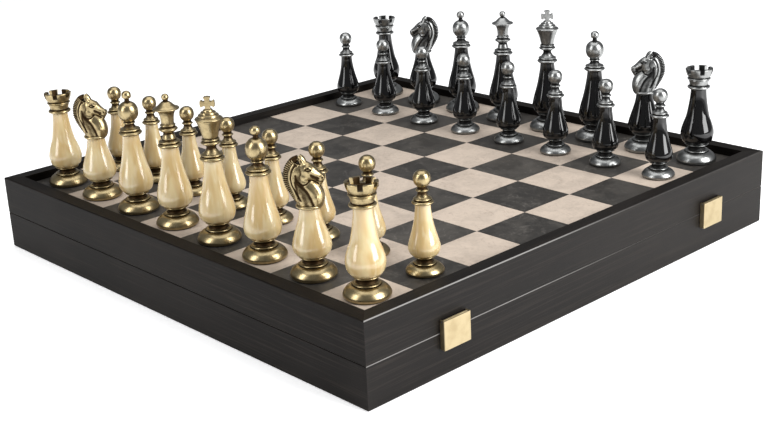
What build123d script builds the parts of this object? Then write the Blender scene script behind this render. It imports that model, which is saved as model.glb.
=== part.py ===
from build123d import *
import os
from math import acos, cos, sin

# A chess set that lives in its own board: a shallow box whose lid is the playing board.
# Millimetres. The origin is the centre of the box's bottom face, +Z is up, -Y is the latch side,
# +Y is the hinge side. White stands along -X and Black along +X.

# ---------------------------------------------------------------- driving dimensions: the box
square = 48.0               # side of one playing square
files_count = 8             # squares along each side of the board
rim_width = 11.0            # thickness of the box walls, which is the rim seen from above
tray_height = 28.0          # bottom half of the box
lid_height = 28.0           # top half of the box
board_recess = 6.0          # how far the playing surface lies below the rim
veneer_thickness = 0.6      # the squares
board_thickness = 5.0       # panel that carries the squares
board_groove = 4.0          # how deep the panel goes into the lid's walls
base_thickness = 4.0        # panel that closes the tray
base_rebate = 5.0           # ledge in the tray's walls for that panel
lining_thickness = 0.8      # felt inside both halves
lining_margin = 0.5         # gap between a lining and the walls
edge_chamfer = 0.6          # eased outer edges
seam_chamfer = 0.4          # eased edges where the halves meet

# ---------------------------------------------------------------- driving dimensions: hinges
hinge_offset = 130.0        # from the middle of the box to each hinge
hinge_length = 40.0
hinge_knuckles = 5
leaf_thickness = 1.2
leaf_width = 8.5            # how far a leaf reaches into the wall
knuckle_radius = 2.4
knuckle_stand_off = 0.4     # gap between the knuckles and the back face
knuckle_gap = 0.3           # end gap between neighbouring knuckles
hinge_pin_radius = 1.1
pin_clearance = 0.05        # radial running fit of every pin
pin_head_radius = 1.8
pin_head_length = 0.8
hinge_screw_pitch = 14.0
hinge_screw_inset = 4.6     # screw line, measured from the back face
hinge_screw_head_radius = 1.9
hinge_screw_radius = 1.0
hinge_screw_length = 8.0

# ---------------------------------------------------------------- driving dimensions: latches
latch_offset = 133.0        # from the middle of the box to each latch
latch_width = 22.5
latch_height = 18.8
latch_above_seam = 8.6      # how far the plate reaches up past the seam
latch_depth = 4.0           # from the front face to the outside of the plate
latch_sheet = 1.0           # thickness of the plate
cheek_thickness = 0.9       # folded sides of the plate
cheek_clearance = 0.3       # between the cheeks and the wood, and between cheeks and bracket
latch_pin_radius = 0.5
latch_barrel_radius = 0.9
barrel_clearance = 0.4      # between the bracket's barrel and the inside of the plate
barrel_overlap = 0.2        # how far the bracket's sheet runs into its barrel
latch_corner_radius = 0.6
keeper_width = 16.0
keeper_top_gap = 0.8        # from the seam down to the keeper
keeper_height = 8.0
keeper_sheet = 0.8
ridge_root = 0.3            # how far out from the front face the keeper's ridge starts
ridge_height = 2.8          # plate's lower edge to the catch line
catch_clearance = 0.3       # between the catch on the plate and the ridge on the keeper
catch_radius = 0.6
catch_length = 12.0
small_screw_radius = 0.9
small_screw_head_radius = 1.6
small_screw_head_height = 0.7
small_screw_length = 7.0
small_screw_offset = 5.5    # from the latch's middle line
keeper_screw_inset = 2.6    # keeper's top edge to its screw line

# ---------------------------------------------------------------- driving dimensions: chessmen
felt_thickness = 1.2        # pad under each foot
felt_margin = 1.2           # pad's edge to the foot's edge
felt_recess = 0.6           # how far the pad is let into the foot
rod_radius = 1.5            # steel tie rod through the body
rod_clearance = 0.2         # around the rod, in the body only
rod_bite = 4.0              # how far the rod screws into the head
rod_floor = 1.4             # metal left under the rod, above the pad

officer_foot_radius = 14.7
officer_dome_height = 8.1    # top of the foot's dome
officer_body_bottom = 14.0
officer_body_top = 56.0
officer_belly_height = 20.3
officer_belly_radius = 12.2
officer_body_top_radius = 5.4
officer_collar_radius = 8.1
queen_height = 92.3
bishop_ball_radius = 7.1
bishop_ball_height = 72.0     # centre of the bishop's ball

rook_belly_height = 21.8
rook_head_radius = 10.0
rook_height = 71.0
merlon_count = 6
merlon_gap = 3.2
merlon_depth = 3.6

knight_body_top = 45.0
knight_body_top_radius = 5.9
knight_head_thickness = 9.5
knight_collar_radius = 8.2
mane_thickness = 3.6
white_knight_turn = -52.0   # degrees from facing the enemy
black_knight_turn = 128.0
king_cross_turn = -45.0
king_cross_width = 10.4
king_cross_thickness = 2.8
king_height = 98.0

pawn_foot_radius = 12.0
pawn_dome_height = 6.3
pawn_body_bottom = 11.6
pawn_body_top = 44.6
pawn_belly_height = 16.4
pawn_belly_radius = 10.0
pawn_body_top_radius = 4.7
pawn_collar_radius = 6.7
pawn_ball_radius = 5.35
pawn_height = 65.5

box_side = files_count * square + 2 * rim_width
half = box_side / 2
inner_side = box_side - 2 * rim_width
box_height = tray_height + lid_height
board_top = box_height - board_recess
panel_top = board_top - veneer_thickness
panel_bottom = panel_top - board_thickness
hinge_y = half + knuckle_stand_off + knuckle_radius
latch_top = tray_height + latch_above_seam
latch_bottom = latch_top - latch_height
latch_pin_z = latch_top - latch_barrel_radius
plate_inside = latch_depth - latch_sheet
latch_pin_depth = plate_inside - barrel_clearance - latch_barrel_radius
ridge_reach = plate_inside - catch_radius - catch_clearance
ridge_radius = (ridge_reach - ridge_root) / 2
catch_z = latch_bottom + ridge_height
keeper_top = tray_height - keeper_top_gap
bracket_bottom = tray_height + keeper_top_gap
bracket_width = latch_width - 2 * cheek_thickness - 2 * cheek_clearance
bracket_sheet = latch_pin_depth - latch_barrel_radius + barrel_overlap
bracket_screw_z = (bracket_bottom + latch_pin_z - latch_barrel_radius) / 2
keeper_screw_z = keeper_top - keeper_screw_inset


# ---------------------------------------------------------------- small helpers
def box(x, y, z):
    """A box from three (low, high) pairs."""
    size = Box(x[1] - x[0], y[1] - y[0], z[1] - z[0])
    middle = ((x[0] + x[1]) / 2, (y[0] + y[1]) / 2, (z[0] + z[1]) / 2)
    return Pos(*middle) * size


def rod_along(direction, radius, length, start):
    """A cylinder that starts at a point and runs along a direction."""
    place = Plane(origin=start, z_dir=direction)
    return place * Cylinder(radius, length, align=(Align.CENTER, Align.CENTER, Align.MIN))


def turned(start, steps):
    """Solid turned about Z. A step is a point (radius, height), or a list of points: a smooth curve."""
    edges = []
    here = start
    for step in steps + [start]:
        points = step if isinstance(step, list) else [step]
        through = [(r, 0, z) for r, z in [here] + points]
        edges.append(Spline(*through) if len(through) > 2 else Line(*through))
        here = points[-1]
    return revolve(make_face(edges), Axis.Z)


def ball_points(radius, centre, low_radius, high_radius, count=6):
    """Points up a ball's outline, from a neck under it to a neck or a pole on top of it."""
    low = -acos(low_radius / radius)
    high = acos(high_radius / radius)
    angles = [low + (high - low) * i / count for i in range(count + 1)]
    return [(radius * cos(a), centre + radius * sin(a)) for a in angles]


def write(name, solids, colour):
    """One STEP file for one named sub-part, with its solids kept apart."""
    part = Compound(children=list(solids))
    part.label = name
    part.color = Color(colour)
    export_step(part, f"parts/{name}.step")


# ---------------------------------------------------------------- the box
def wall_blank(bottom, top, rebate_side, groove):
    """A front wall, mitred at both ends, with its ledge for the base or its groove for the board."""
    inner = half - rim_width
    plan = make_face(Polyline((-half, -half), (half, -half), (inner, -inner), (-inner, -inner), close=True))
    wall = Pos(0, 0, bottom) * extrude(plan, top - bottom, dir=(0, 0, 1))
    long_x = (-box_side, box_side)
    if rebate_side:
        wall -= box(long_x, (-inner - base_rebate, 0), (bottom - 1, base_thickness))
    if groove:
        wall -= box(long_x, (-inner - board_groove, 0), (panel_bottom, panel_top))
    return wall


def eased(wall, heights_and_sizes):
    """Chamfers a wall's outer long edges at the given heights."""
    for height, size in heights_and_sizes:
        edges = wall.edges().filter_by(Axis.X).filter_by(
            lambda e: abs(e.center().Y + half) < 0.01 and abs(e.center().Z - height) < 0.01
        )
        wall = chamfer(edges, size)
    return wall


def four_walls(prefix, front, side_cuts):
    """The front wall turned to all four sides, with each side's own cuts taken out."""
    turns = {"front": 0, "right": 90, "back": 180, "left": 270}
    walls = {}
    for side, turn in turns.items():
        wall = Rot(0, 0, turn) * front
        for cut in side_cuts.get(side, []):
            wall -= cut
        walls[f"{prefix}_wall_{side}"] = [wall.solid()]
    return walls


def hinge_centres():
    return [-hinge_offset, hinge_offset]


def hinge_screw_places():
    """Where each hinge's screws stand in one leaf."""
    rows = [-hinge_screw_pitch, 0, hinge_screw_pitch]
    return [(x + row, half - hinge_screw_inset) for x in hinge_centres() for row in rows]


def hinge_screw(x, y, direction):
    """A countersunk screw flush with the seam face; direction is +1 up into the lid, -1 down."""
    taper = hinge_screw_head_radius - hinge_screw_radius
    outline = [
        (hinge_screw_head_radius, 0),
        (hinge_screw_radius, taper),
        (hinge_screw_radius, hinge_screw_length - taper),
        (0, hinge_screw_length),
    ]
    screw = turned((0, 0), outline)
    if direction < 0:
        screw = Rot(180, 0, 0) * screw
    return Pos(x, y, tray_height) * screw


def knuckle_spans():
    """The (low, high) stretches of one hinge's knuckles along its length, about its middle."""
    pitch = hinge_length / hinge_knuckles
    spans = []
    for i in range(hinge_knuckles):
        low = -hinge_length / 2 + i * pitch
        spans.append((low + knuckle_gap / 2, low + pitch - knuckle_gap / 2))
    return spans


def hinge_leaf(x, direction, own):
    """One leaf let into its wall, with the knuckles that belong to it (own is 0 or 1)."""
    face = tray_height + direction * leaf_thickness
    low, high = sorted((tray_height, face))
    length = (x - hinge_length / 2, x + hinge_length / 2)
    leaf = box(length, (half - leaf_width, half + knuckle_stand_off / 4), (low, high))
    for i, (start, end) in enumerate(knuckle_spans()):
        if i % 2 == own:
            leaf += box((x + start, x + end), (half - leaf_width, hinge_y), (low, high))
            leaf += rod_along((1, 0, 0), knuckle_radius, end - start, (x + start, hinge_y, tray_height))
    hole = hinge_pin_radius + pin_clearance
    leaf -= rod_along((1, 0, 0), hole, hinge_length + 2, (x - hinge_length / 2 - 1, hinge_y, tray_height))
    for sx, sy in hinge_screw_places():
        if abs(sx - x) < hinge_length / 2:
            leaf -= hinge_screw(sx, sy, direction)
    return leaf.solid()


def hinge_mortise(x, direction):
    low, high = sorted((tray_height, tray_height + direction * leaf_thickness))
    length = (x - hinge_length / 2, x + hinge_length / 2)
    return box(length, (half - leaf_width, half + 1), (low, high))


def hinge_pin(x):
    """A pin with a turned head at each end, which bears on the outer knuckles."""
    start = x - hinge_length / 2 + knuckle_gap / 2
    length = hinge_length - knuckle_gap
    pin = rod_along((1, 0, 0), hinge_pin_radius, length, (start, hinge_y, tray_height))
    for end in (start - pin_head_length, start + length):
        pin += rod_along((1, 0, 0), pin_head_radius, pin_head_length, (end, hinge_y, tray_height))
    return pin.solid()


# ---------------------------------------------------------------- the latches
def out(depth):
    """The Y of a point this far out from the front face."""
    return -half - depth


def latch_centres():
    return {"left": -latch_offset, "right": latch_offset}


def latch_plate(x):
    """The plate that swings up: a flat front, two folded cheeks and a catch near its lower edge."""
    wide = (x - latch_width / 2, x + latch_width / 2)
    tall = (latch_bottom, latch_top)
    plate = box(wide, (out(latch_depth), out(cheek_clearance)), tall)
    hollow_wide = (wide[0] + cheek_thickness, wide[1] - cheek_thickness)
    plate -= box(hollow_wide, (out(plate_inside), 0), (latch_bottom - 1, latch_top + 1))
    front_edges = plate.edges().filter_by(Axis.Z).group_by(Axis.Y)[0]
    plate = fillet(front_edges, latch_corner_radius)
    rib_start = (x - catch_length / 2, out(plate_inside), catch_z)
    plate += rod_along((1, 0, 0), catch_radius, catch_length, rib_start)
    hole_start = (wide[0] - 1, out(latch_pin_depth), latch_pin_z)
    plate -= rod_along((1, 0, 0), latch_pin_radius + pin_clearance, latch_width + 2, hole_start)
    return plate.solid()


def small_screw(x, z, sheet):
    """A round-head screw through a sheet on the front face."""
    neck = rod_along((0, 1, 0), small_screw_radius, small_screw_length, (x, out(sheet), z))
    head = rod_along((0, -1, 0), small_screw_head_radius, small_screw_head_height, (x, out(sheet), z))
    return (neck + head).solid()


def latch_screw_places(z):
    return [(x + s * small_screw_offset, z) for x in latch_centres().values() for s in (-1, 1)]


def latch_bracket(x):
    """The sheet on the lid that carries the latch's pin in a rolled barrel."""
    wide = (x - bracket_width / 2, x + bracket_width / 2)
    bracket = box(wide, (out(bracket_sheet), out(0)), (bracket_bottom, latch_pin_z))
    barrel_start = (wide[0], out(latch_pin_depth), latch_pin_z)
    bracket += rod_along((1, 0, 0), latch_barrel_radius, bracket_width, barrel_start)
    bracket -= rod_along((1, 0, 0), latch_pin_radius, bracket_width, barrel_start)
    for sx, sz in latch_screw_places(bracket_screw_z):
        if abs(sx - x) < latch_width:
            hole_start = (sx, out(2 * bracket_sheet), sz)
            bracket -= rod_along((0, 1, 0), small_screw_radius, 2 * bracket_sheet, hole_start)
    return bracket.solid()


def latch_pin(x):
    start = (x - latch_width / 2, out(latch_pin_depth), latch_pin_z)
    return rod_along((1, 0, 0), latch_pin_radius, latch_width, start).solid()


def latch_keeper(x):
    """The sheet on the tray whose ridge the plate's catch snaps over."""
    wide = (x - keeper_width / 2, x + keeper_width / 2)
    keeper = box(wide, (out(keeper_sheet), out(0)), (keeper_top - keeper_height, keeper_top))
    ridge_start = (wide[0], out(ridge_reach - ridge_radius), catch_z)
    keeper += rod_along((1, 0, 0), ridge_radius, keeper_width, ridge_start)
    for sx, sz in latch_screw_places(keeper_screw_z):
        if abs(sx - x) < latch_width:
            hole_start = (sx, out(2 * keeper_sheet), sz)
            keeper -= rod_along((0, 1, 0), small_screw_radius, 2 * keeper_sheet, hole_start)
    return keeper.solid()


# ---------------------------------------------------------------- chessmen: shared pieces
def felt_pad(foot_radius):
    standing = (Align.CENTER, Align.CENTER, Align.MIN)
    return Cylinder(foot_radius - felt_margin, felt_thickness, align=standing)


def foot(foot_radius, dome_height, top):
    """A domed metal foot with a ring, a dark waist and a flange under the body."""
    ring = 0.585 * foot_radius
    waist = 0.42 * foot_radius
    ring_top = dome_height + 1.1
    dome = [
        (foot_radius, felt_recess + 0.18 * dome_height),
        (0.96 * foot_radius, 0.45 * dome_height),
        (0.84 * foot_radius, 0.75 * dome_height),
        (ring, dome_height),
    ]
    return turned(
        (0, felt_thickness),
        [
            (foot_radius - felt_margin, felt_thickness),
            (foot_radius - felt_margin, felt_recess),
            (foot_radius - 0.5, felt_recess),
            dome,
            (ring, ring_top),
            (waist, ring_top + 0.4),
            (waist, top - 1.3),
            (ring, top - 1.0),
            (ring, top),
            (rod_radius, top),
            (rod_radius, felt_thickness + rod_floor),
            (0, felt_thickness + rod_floor),
        ],
    )


def body(bottom, top, belly_height, belly_radius, top_radius, shoulders):
    """A drop-shaped resin body, bored for the tie rod. Shoulders are (height, width) fractions."""
    rise = belly_height - bottom
    fall = top - belly_height
    outline = [(0.87 * belly_radius, bottom + 0.32 * rise), (belly_radius, belly_height)]
    for up, wide in shoulders:
        outline.append((top_radius + wide * (belly_radius - top_radius), belly_height + up * fall))
    outline.append((top_radius, top))
    bore = rod_radius + rod_clearance
    return turned((bore, bottom), [(0.66 * belly_radius, bottom), outline, (bore, top)])


def tie_rod(body_top):
    length = body_top + rod_bite - felt_thickness - rod_floor
    rod = Cylinder(rod_radius, length, align=(Align.CENTER, Align.CENTER, Align.MIN))
    return Pos(0, 0, felt_thickness + rod_floor) * rod


def collar(bottom, radius):
    """Steps of a head's outline from the tie rod's socket out over a double collar."""
    return [
        (rod_radius, bottom + rod_bite),
        (rod_radius, bottom),
        (0.82 * radius, bottom),
        [(radius, bottom + 0.2 * radius), (0.86 * radius, bottom + 0.36 * radius)],
        (0.78 * radius, bottom + 0.42 * radius),
        [(0.86 * radius, bottom + 0.5 * radius), (0.79 * radius, bottom + 0.6 * radius)],
    ]


# ---------------------------------------------------------------- chessmen: heads
def king_head():
    base = officer_body_top
    rim = king_height - 14.2
    profile = turned(
        (0, base + rod_bite),
        collar(base, officer_collar_radius)
        + [
            [(4.6, base + 6.2), (3.3, base + 8.6), (4.8, base + 10.8)],
            [(6.6, base + 11.8), (5.2, base + 12.8)],
            [(5.9, base + 13.8), (5.2, base + 14.6)],
            [(5.9, base + 19.0), (7.3, rim - 4.2), (9.1, rim - 0.7)],
            (9.1, rim + 0.2),
            (6.8, rim + 0.8),
            (6.6, rim + 2.0),
            (5.1, rim + 2.3),
            (4.9, rim + 3.6),
            (3.4, rim + 3.9),
            (3.2, rim + 5.2),
            (0, rim + 5.2),
        ],
    )
    cross_low = rim + 4.8
    arm = king_height - 4.9
    reach = king_cross_width / 2
    bar = 0.14 * king_cross_width
    flare = 0.21 * king_cross_width
    right_side = [
        (bar, cross_low), (bar, arm - bar), (reach, arm - flare), (reach, arm + flare), (bar, arm + bar),
        (flare, king_height),
    ]
    left_side = [(-x, z) for x, z in reversed(right_side)]
    outline = make_face(Polyline(*right_side, *left_side, close=True))
    cross = extrude(Plane.XZ * outline, king_cross_thickness / 2, both=True)
    return profile + Rot(0, 0, king_cross_turn) * cross


def queen_head():
    base = officer_body_top
    ball = 2.4
    rim = queen_height - 10.3
    return turned(
        (0, base + rod_bite),
        collar(base, officer_collar_radius)
        + [
            [(4.4, base + 6.1), (3.5, base + 9.2), (4.9, base + 11.2)],
            [(6.5, base + 12.4), (5.0, base + 13.8)],
            [(5.3, base + 15.2), (4.5, base + 16.4)],
            [(4.7, base + 20.0), (5.9, rim - 1.8)],
            (8.8, rim - 0.3),
            (8.8, rim + 0.5),
            [(5.0, rim + 2.8), (2.2, rim + 5.2)],
            ball_points(ball, queen_height - ball, 1.6, 0),
        ],
    )


def bishop_head():
    base = officer_body_top
    ball = bishop_ball_radius
    centre = bishop_ball_height
    return turned(
        (0, base + rod_bite),
        collar(base, officer_collar_radius)
        + [
            [(4.2, base + 5.8), (3.3, base + 7.2), (3.6, base + 8.4)],
            ball_points(ball, centre, 3.8, 1.7),
            (1.7, centre + ball + 1.9),
            [(3.2, centre + ball + 5.2), (2.0, centre + ball + 7.5), (0, centre + ball + 7.9)],
        ],
    )


def rook_head():
    base = officer_body_top
    top = rook_height
    r = rook_head_radius
    cup = turned(
        (0, base + rod_bite),
        [
            (rod_radius, base + rod_bite),
            (rod_radius, base),
            (0.66 * r, base),
            [(0.82 * r, base + 1.0), (0.7 * r, base + 2.1)],
            (0.66 * r, base + 2.6),
            (0.76 * r, base + 6.4),
            [(0.84 * r, base + 7.4), (0.76 * r, base + 8.4)],
            (0.8 * r, base + 8.8),
            [(0.93 * r, base + 11.2), (r, top - 1.2), (0.985 * r, top)],
            (0.72 * r, top),
            (0.68 * r, top - 1.4 * merlon_depth),
            (0, top - 1.4 * merlon_depth),
        ],
    )
    for i in range(merlon_count // 2):
        gap = box((-2 * r, 2 * r), (-merlon_gap / 2, merlon_gap / 2), (top - merlon_depth, top + 1))
        cup -= Rot(0, 0, 30 + 360 * i / merlon_count) * gap
    return cup


def knight_head():
    """A horse's head and neck, with a raised mane, on a round collar. It looks along +X."""
    base = knight_body_top
    r = knight_collar_radius
    outline = [
        [(-8.6, 4.0), (-12.4, 9.4), (-14.0, 17.0), (-11.6, 26.0), (-6.6, 30.6), (-2.6, 30.2)],
        (-2.2, 28.8),
        [(1.1, 27.5), (5.0, 23.4), (9.4, 20.6)],
        [(10.4, 17.6), (8.8, 15.0)],
        [(4.6, 16.0), (0.6, 15.4)],
        [(2.5, 13.0), (7.4, 10.6), (9.8, 5.4), (7.4, 1.2)],
    ]
    edges = []
    here = (-6.6, 1.2)
    for step in outline + [(-6.6, 1.2)]:
        points = step if isinstance(step, list) else [step]
        through = [(x, z) for x, z in [here] + points]
        edges.append(Spline(*through) if len(through) > 2 else Line(*through))
        here = points[-1]
    side = make_face(edges)
    head = extrude(Plane.XZ * side, knight_head_thickness / 2, both=True)
    muzzle_taper = make_face(
        Polyline((-16, -5), (-2, -5), (12, -2.9), (12, 2.9), (-2, 5), (-16, 5), close=True)
    )
    head &= extrude(muzzle_taper, 60, dir=(0, 0, 1), both=True)
    mane = [(-8.4, 2.6), (-12.1, 8.4), (-15.1, 17.4), (-13.2, 26.6), (-7.5, 32.1), (-3.4, 32.2)]
    inside = [(-3.6, 28.6), (-9.0, 24.5), (-10.0, 17.5), (-8.2, 9.4), (-5.4, 3.0)]
    strip = make_face([
        Spline(*mane), Line(mane[-1], inside[0]), Spline(*inside), Line(inside[-1], mane[0]),
    ])
    head += extrude(Plane.XZ * strip, mane_thickness / 2, both=True)
    ring = turned((0, 0), [(0.92 * r, 0), [(r, 0.9), (0.94 * r, 1.8)], (0, 1.8)])
    head = Pos(0, 0, base) * (head + ring)
    return head - Pos(0, 0, base) * Cylinder(rod_radius, 2 * rod_bite)


def pawn_head():
    base = pawn_body_top
    centre = pawn_height - pawn_ball_radius
    return turned(
        (0, base + rod_bite),
        collar(base, pawn_collar_radius)
        + [
            [(3.6, base + 5.2), (2.8, base + 7.4)],
            (3.3, base + 7.8),
            [(4.0, base + 8.7), (3.3, base + 9.5)],
            (3.0, base + 9.8),
            ball_points(pawn_ball_radius, centre, 3.1, 0),
        ],
    )


# ---------------------------------------------------------------- chessmen: whole pieces
officer_shoulders = [(0.35, 0.63), (0.73, 0.21)]
pawn_shoulders = [(0.37, 0.5), (0.66, 0.13)]


def officer_body(top, belly_height, top_radius):
    return body(officer_body_bottom, top, belly_height, officer_belly_radius, top_radius, officer_shoulders)


def chessman(kind):
    """The separate solids of one chessman, standing on the origin."""
    heads = {
        "king": (king_head, officer_body_top),
        "queen": (queen_head, officer_body_top),
        "bishop": (bishop_head, officer_body_top),
        "rook": (rook_head, officer_body_top),
        "knight": (knight_head, knight_body_top),
        "pawn": (pawn_head, pawn_body_top),
    }
    head, body_top = heads[kind]
    if kind == "pawn":
        stand = foot(pawn_foot_radius, pawn_dome_height, pawn_body_bottom)
        pad = felt_pad(pawn_foot_radius)
        resin = body(
            pawn_body_bottom, body_top, pawn_belly_height, pawn_belly_radius, pawn_body_top_radius,
            pawn_shoulders,
        )
    else:
        stand = foot(officer_foot_radius, officer_dome_height, officer_body_bottom)
        pad = felt_pad(officer_foot_radius)
        top_radius = knight_body_top_radius if kind == "knight" else officer_body_top_radius
        belly_height = rook_belly_height if kind == "rook" else officer_belly_height
        resin = officer_body(body_top, belly_height, top_radius)
    return [
        pad,
        stand,
        resin,
        tie_rod(body_top),
        head().solid(),
    ]


def square_centre(file_index, rank_index):
    """Centre of a square: files run a to h from the back to the front, ranks 1 to 8 along +X."""
    x = (rank_index - (files_count - 1) / 2) * square
    y = ((files_count - 1) / 2 - file_index) * square
    return x, y


def chess_army(colour, back_rank, pawn_rank, turn, tint):
    """Writes one army, each chessman in a node of its own."""
    file_names = "abcdefgh"
    order = ["rook", "knight", "bishop", "queen", "king", "bishop", "knight", "rook"]
    for i, kind in enumerate(order):
        place_army_piece(f"{colour}_{kind}_{file_names[i]}", kind, i, back_rank, turn, tint)
        place_army_piece(f"{colour}_pawn_{file_names[i]}", "pawn", i, pawn_rank, 0, tint)


def place_army_piece(name, kind, file_index, rank_index, turn, tint):
    x, y = square_centre(file_index, rank_index)
    place = Pos(x, y, board_top) * Rot(0, 0, turn if kind == "knight" else 0)
    write(name, [place * solid for solid in men[kind]], tint)


# ---------------------------------------------------------------- building the nodes
os.makedirs("parts", exist_ok=True)

tray_front = eased(
    wall_blank(0, tray_height, True, False), [(0, edge_chamfer), (tray_height, seam_chamfer)]
)
lid_front = eased(
    wall_blank(tray_height, box_height, False, True),
    [(tray_height, seam_chamfer), (box_height, edge_chamfer)],
)
keeper_screws = [small_screw(x, z, keeper_sheet) for x, z in latch_screw_places(keeper_screw_z)]
bracket_screws = [small_screw(x, z, bracket_sheet) for x, z in latch_screw_places(bracket_screw_z)]
tray_hinge_screws = [hinge_screw(x, y, -1) for x, y in hinge_screw_places()]
lid_hinge_screws = [hinge_screw(x, y, 1) for x, y in hinge_screw_places()]
tray_mortises = [hinge_mortise(x, -1) for x in hinge_centres()]
lid_mortises = [hinge_mortise(x, 1) for x in hinge_centres()]

walls = four_walls("tray", tray_front, {"front": keeper_screws, "back": tray_mortises + tray_hinge_screws})
walls |= four_walls("lid", lid_front, {"front": bracket_screws, "back": lid_mortises + lid_hinge_screws})
for name, solids in walls.items():
    write(name, solids, "black")

base_half = inner_side / 2 + base_rebate
base_span = (-base_half, base_half)
write("base_panel", [box(base_span, base_span, (0, base_thickness))], "gray")

panel_half = inner_side / 2 + board_groove
panel_span = (-panel_half, panel_half)
write("board_panel", [box(panel_span, panel_span, (panel_bottom, panel_top))], "gray")

lining_half = inner_side / 2 - lining_margin
lining_span = (-lining_half, lining_half)
tray_felt = box(lining_span, lining_span, (base_thickness, base_thickness + lining_thickness))
lid_felt = box(lining_span, lining_span, (panel_bottom - lining_thickness, panel_bottom))
write("tray_lining", [tray_felt], "darkgreen")
write("lid_lining", [lid_felt], "darkgreen")

squares = {"light_squares": [], "dark_squares": []}
for file_index in range(files_count):
    for rank_index in range(files_count):
        x, y = square_centre(file_index, rank_index)
        tile = box(
            (x - square / 2, x + square / 2), (y - square / 2, y + square / 2), (panel_top, board_top)
        )
        dark = (file_index + rank_index) % 2 == 0
        squares["dark_squares" if dark else "light_squares"].append(tile)
write("light_squares", squares["light_squares"], "tan")
write("dark_squares", squares["dark_squares"], "dimgray")

write("tray_hinge_leaves", [hinge_leaf(x, -1, 0) for x in hinge_centres()], "gold")
write("lid_hinge_leaves", [hinge_leaf(x, 1, 1) for x in hinge_centres()], "gold")
write("hinge_pins", [hinge_pin(x) for x in hinge_centres()], "gold")
write("tray_hinge_screws", tray_hinge_screws, "goldenrod")
write("lid_hinge_screws", lid_hinge_screws, "goldenrod")

for side, x in latch_centres().items():
    write(f"latch_plate_{side}", [latch_plate(x)], "gold")
write("latch_brackets", [latch_bracket(x) for x in latch_centres().values()], "gold")
write("latch_pins", [latch_pin(x) for x in latch_centres().values()], "goldenrod")
write("latch_keepers", [latch_keeper(x) for x in latch_centres().values()], "gold")
write("latch_bracket_screws", bracket_screws, "goldenrod")
write("latch_keeper_screws", keeper_screws, "goldenrod")

men = {kind: chessman(kind) for kind in ("king", "queen", "bishop", "knight", "rook", "pawn")}
chess_army("white", 0, 1, white_knight_turn, "wheat")
chess_army("black", files_count - 1, files_count - 2, black_knight_turn, "black")
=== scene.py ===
# %% [markdown]
# # A chess set on its own box
# The box, its squares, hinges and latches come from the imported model, so they only need finishes.
# The chessmen get new pieces here: a turned foot, a resin body and a cast head each, made in
# millimetres about their own axis and then set down on their squares.

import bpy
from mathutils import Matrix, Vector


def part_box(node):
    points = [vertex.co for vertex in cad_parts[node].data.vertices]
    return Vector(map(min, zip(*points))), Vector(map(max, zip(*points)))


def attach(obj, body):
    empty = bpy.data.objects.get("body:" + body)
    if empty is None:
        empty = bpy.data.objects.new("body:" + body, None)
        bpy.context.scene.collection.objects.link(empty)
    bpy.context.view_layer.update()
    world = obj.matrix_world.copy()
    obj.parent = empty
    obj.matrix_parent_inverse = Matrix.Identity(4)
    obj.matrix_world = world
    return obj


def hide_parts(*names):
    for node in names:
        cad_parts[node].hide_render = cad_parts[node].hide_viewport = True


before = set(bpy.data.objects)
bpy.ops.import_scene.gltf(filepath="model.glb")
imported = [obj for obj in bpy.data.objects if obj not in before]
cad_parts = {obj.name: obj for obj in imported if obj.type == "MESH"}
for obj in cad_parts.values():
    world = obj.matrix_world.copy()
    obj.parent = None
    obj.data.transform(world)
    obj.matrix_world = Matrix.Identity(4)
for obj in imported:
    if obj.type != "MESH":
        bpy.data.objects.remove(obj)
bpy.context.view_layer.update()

# %% [markdown]
# ## Libraries and units
# Shapes are drawn in millimetres, as a maker would, and become metres when they are set down. One
# seeded source gives every random number, so the set comes out the same each time.

# %% Libraries
from math import cos, pi, radians, sin

import bmesh
import bpy
import numpy as np
from mathutils import Matrix, Vector

MM = 0.001
chance = np.random.default_rng(7)
print("one unit is", MM, "m")

# %% [markdown]
# ## Names and places
# Every chessman is a node such as `white_king_e`. Its foot is round and its node's box is centred
# on it, so the box gives the axis that the new pieces turn about.

# %% Read the chessmen from the frame
kinds = ("king", "queen", "bishop", "knight", "rook", "pawn")
chessmen = sorted(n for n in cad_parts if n.split("_")[1] in kinds)


def standing_place(node):
    """Where a chessman's axis meets its square, in metres."""
    low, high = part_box(node)
    return ((low[0] + high[0]) / 2, (low[1] + high[1]) / 2, low[2])


squares_low, squares_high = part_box("light_squares")
square_mm = (squares_high[0] - squares_low[0]) / 8 / MM
print(len(chessmen), "chessmen, squares of", round(square_mm, 2), "mm")

# %% [markdown]
# ## One way to add nodes
# Geometry and shader trees are both lists of nodes with values or links on their sockets, so one
# function adds a node of any type. Settings come first, because some of them change the sockets.


# %% Adding a node
def add_node(tree, kind, settings=None, inputs=None):
    """Adds a node, sets its settings, then gives each named or numbered socket a value or a link."""
    node = tree.nodes.new(kind)
    for name, value in (settings or {}).items():
        setattr(node, name, value)
    for key, value in (inputs or {}).items():
        socket = node.inputs[key]
        if isinstance(value, bpy.types.NodeSocket):
            tree.links.new(value, socket)
        else:
            socket.default_value = value
    return node


# %% [markdown]
# ## Finishes as sums
# A finish is easier to read as a sum than as a drawing of boxes. `Wire` holds one output socket,
# and adding or multiplying wires adds the Math nodes. `Finish` holds the material itself.


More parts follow.
